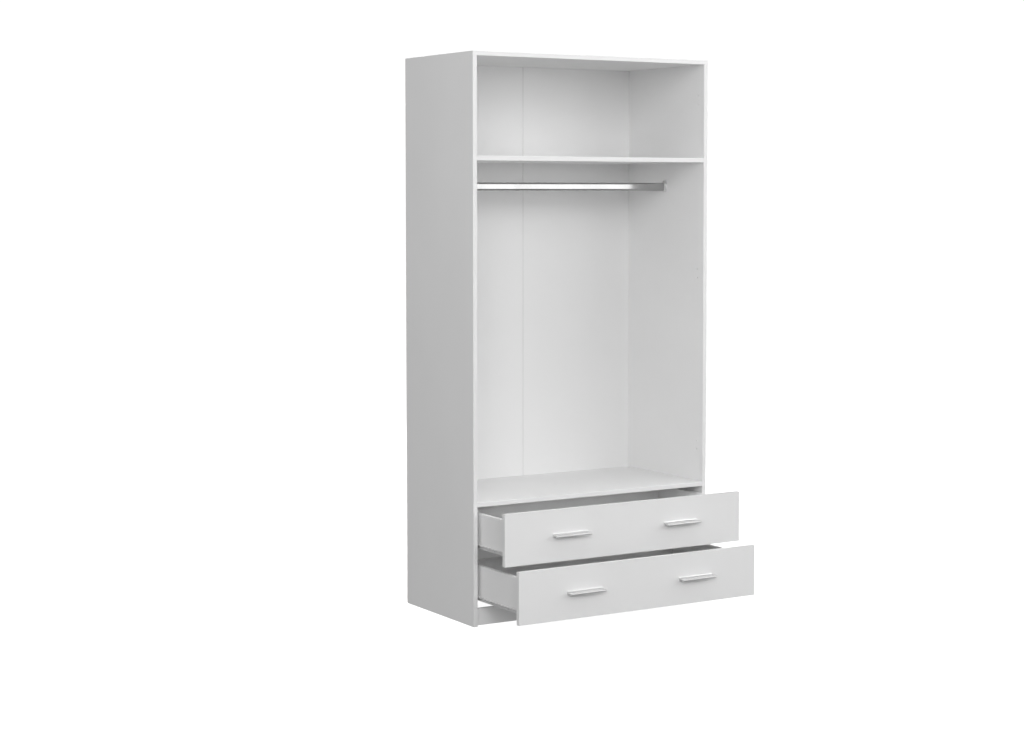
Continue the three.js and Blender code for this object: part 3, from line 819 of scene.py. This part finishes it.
def handle_outline():
    """The hook section in (reach out from the drawer front, height): a foot against the front that
    sweeps in a hollow curve into a thin plate, and a rounded lip that turns down."""
    foot, plate, lip = HANDLE_FOOT, HANDLE_PLATE, HANDLE_LIP
    corners_and_radii = [
        ((0, foot["bottom"]), 0.4),
        ((0, foot["top"]), 0.3),
        ((foot["edge"], foot["top"]), 0.4),
        ((foot["edge"], plate["top"]), HANDLE_HOLLOW_RADIUS),
        ((HANDLE_REACH, plate["top"]), 3.2),
        ((HANDLE_REACH, lip["bottom"]), 3.4),
        ((lip["heel"], lip["bottom"]), 0.8),
        ((lip["inside"], plate["underside"]), 1.6),
        ((foot["depth"], plate["underside"]), 1.5),
        ((foot["depth"], foot["bottom"]), 0.6),
    ]
    corners, radii = zip(*corners_and_radii)
    return rounded_outline(corners, radii, 9) * MM


def add_handle(drawer, side_name):
    node = f"{drawer}_handle_{side_name}"
    low, high = box_of(node)
    front_low, front_high = box_of(f"{drawer}_drawer_front")
    front_face = front_low[1]
    middle = (front_low[2] + front_high[2]) / 2
    outline = handle_outline()
    section = np.stack([front_face - outline[:, 0], middle + outline[:, 1]], -1)
    bar = carried(stations_of(section, 0, [low[0], high[0]], (1, 2)))
    stand_for(node, [bar], [ALUMINIUM], ease=THIN_EASE)
    for index in (1, 2):
        screw_node = f"{node}_screw_{index}"
        screw_low, screw_high = box_of(screw_node)
        seat = screw_high[1] - SCREW_HEAD["height"]
        place = ((screw_low[0] + screw_high[0]) / 2, seat, (screw_low[2] + screw_high[2]) / 2)
        fixing = screw(place, 1, 1, SCREW_HEAD, HANDLE_SCREW_SHANK, seat - screw_low[1])
        stand_for(screw_node, [fixing], [ZINC])


def add_drawers():
    for drawer in DRAWERS:
        add_bored_board(f"{drawer}_drawer_front", BORED_EASE)
        add_board(f"{drawer}_drawer_back")
        low, high = box_of(f"{drawer}_drawer_bottom")
        stand_for(f"{drawer}_drawer_bottom", [eased_board(low, high, THIN_EASE)], [LACQUER])
        for side_name, _ in SIDES:
            add_bored_board(f"{drawer}_drawer_side_{side_name}", BORED_EASE)
            add_handle(drawer, side_name)


# ---- Camera, light and floor ----

CAMERA_PLACE = (-3.947, -6.067, 1.52)
CAMERA_TILT = math.radians(3.5)
CAMERA_TURN = math.radians(-31.634)
CAMERA_LENS = 70.41
CAMERA_SHIFT = (-0.0198, -0.0515)

LIGHT_ABOVE = 0.205
LIGHT_BELOW = 0.32
HORIZON_BLUR = 0.02
MIDDLE = (0, 0, 1)
# Each softbox: name, place, the point it faces, width, height and watts.
SOFTBOXES = (
    ("front left softbox", (-3, -5, 3), MIDDLE, 3, 3, 154),
    ("front right softbox", (3.1, -5, 2.5), (0, 0, 2), 3.4, 3.0, 72),
    ("overhead softbox", (0, -0.8, 5), (0, -0.5, 0), 4, 4, 64),
    ("left softbox", (-5, 0, 1.8), MIDDLE, 3, 3, 28),
    ("right softbox", (5, -1.5, 2.5), MIDDLE, 3, 3, 104),
    ("back softbox", (0, 5, 2.5), MIDDLE, 0.9, 2.5, 110),
)

FLOOR_RADIUS = 24
COVE_RADIUS = 6
COVE_HEIGHT = 30
FLOOR_GAP = 0.2 * MM
FLOOR_GLOW = 0.85


def add_camera():
    """A camera to the left of the wardrobe's front, at eye height, tipped down a little."""
    data = bpy.data.cameras.new("camera")
    data.lens = CAMERA_LENS
    data.sensor_width = 36
    data.shift_x, data.shift_y = CAMERA_SHIFT
    camera = bpy.data.objects.new("camera", data)
    camera.location = CAMERA_PLACE
    camera.rotation_euler = (math.pi / 2 - CAMERA_TILT, 0, CAMERA_TURN)
    bpy.context.scene.collection.objects.link(camera)
    bpy.context.scene.camera = camera


def add_softbox(name, place, target, width, height, power):
    """A rectangular light of that width and height at place, facing target."""
    data = bpy.data.lights.new(name, "AREA")
    data.shape = "RECTANGLE"
    data.size = width
    data.size_y = height
    data.energy = power
    lamp = bpy.data.objects.new(name, data)
    lamp.location = place
    aim = np.array(target, float) - np.array(place, float)
    pitch = math.atan2(math.hypot(aim[0], aim[1]), -aim[2])
    heading = math.atan2(-aim[0], aim[1])
    lamp.rotation_euler = (pitch, 0, heading)
    bpy.context.scene.collection.objects.link(lamp)


def add_studio():
    """A soft dome, brighter below the horizon as over a pale floor, with large softboxes."""
    world = bpy.data.worlds.new("studio")
    world.use_nodes = True
    nodes = world.node_tree.nodes
    links = world.node_tree.links
    direction = nodes.new("ShaderNodeTexCoord").outputs["Generated"]
    apart = nodes.new("ShaderNodeSeparateXYZ")
    links.new(direction, apart.inputs["Vector"])
    dome = nodes.new("ShaderNodeMapRange")
    dome.inputs["From Min"].default_value = -HORIZON_BLUR
    dome.inputs["From Max"].default_value = HORIZON_BLUR
    dome.inputs["To Min"].default_value = LIGHT_BELOW
    dome.inputs["To Max"].default_value = LIGHT_ABOVE
    links.new(apart.outputs["Z"], dome.inputs["Value"])
    links.new(dome.outputs["Result"], nodes["Background"].inputs["Strength"])
    nodes["Background"].inputs["Color"].default_value = (1, 1, 1, 1)
    bpy.context.scene.world = world
    bpy.context.scene.view_settings.view_transform = "Standard"
    for softbox in SOFTBOXES:
        add_softbox(*softbox)


def add_floor():
    """A pale floor that curves up into a pale wall all round, turned about Z: a disc, a quarter
    circle and a cylinder. Its own soft light shows only to the camera."""
    quarter = np.linspace(0, math.pi / 2, 13)
    radii = np.concatenate([[0], FLOOR_RADIUS + COVE_RADIUS * np.sin(quarter)])
    heights = np.concatenate([[0], COVE_RADIUS * (1 - np.cos(quarter))])
    radii = np.append(radii, radii[-1])
    heights = np.append(heights, COVE_HEIGHT)
    points, faces = turned(radii, heights, (0, 0, -FLOOR_GAP), 2, 1, 96)
    mesh = bpy.data.meshes.new("floor")
    mesh.from_pydata(points.tolist(), [], faces[:-2])
    mesh.flip_normals()
    mesh.shade_smooth()
    floor = bpy.data.objects.new("floor", mesh)
    bpy.context.scene.collection.objects.link(floor)
    finish = Finish("pale floor", Roughness=0.9)
    finish.colour(finish.tones(finish.noise(1.5, detail=2), [grey(0.84), grey(0.86)]))
    finish.shader.inputs["Emission Color"].default_value = (1, 1, 1, 1)
    finish.shader.inputs["Emission Strength"].default_value = FLOOR_GLOW
    floor.data.materials.append(finish.material)
    floor.visible_diffuse = False
    floor.visible_glossy = False
    floor.visible_shadow = False


add_camera()
add_carcass_boards()
add_back()
add_back_nails()
add_rail()
add_rail_ends()
add_runners()
add_drawers()
add_studio()
add_floor()
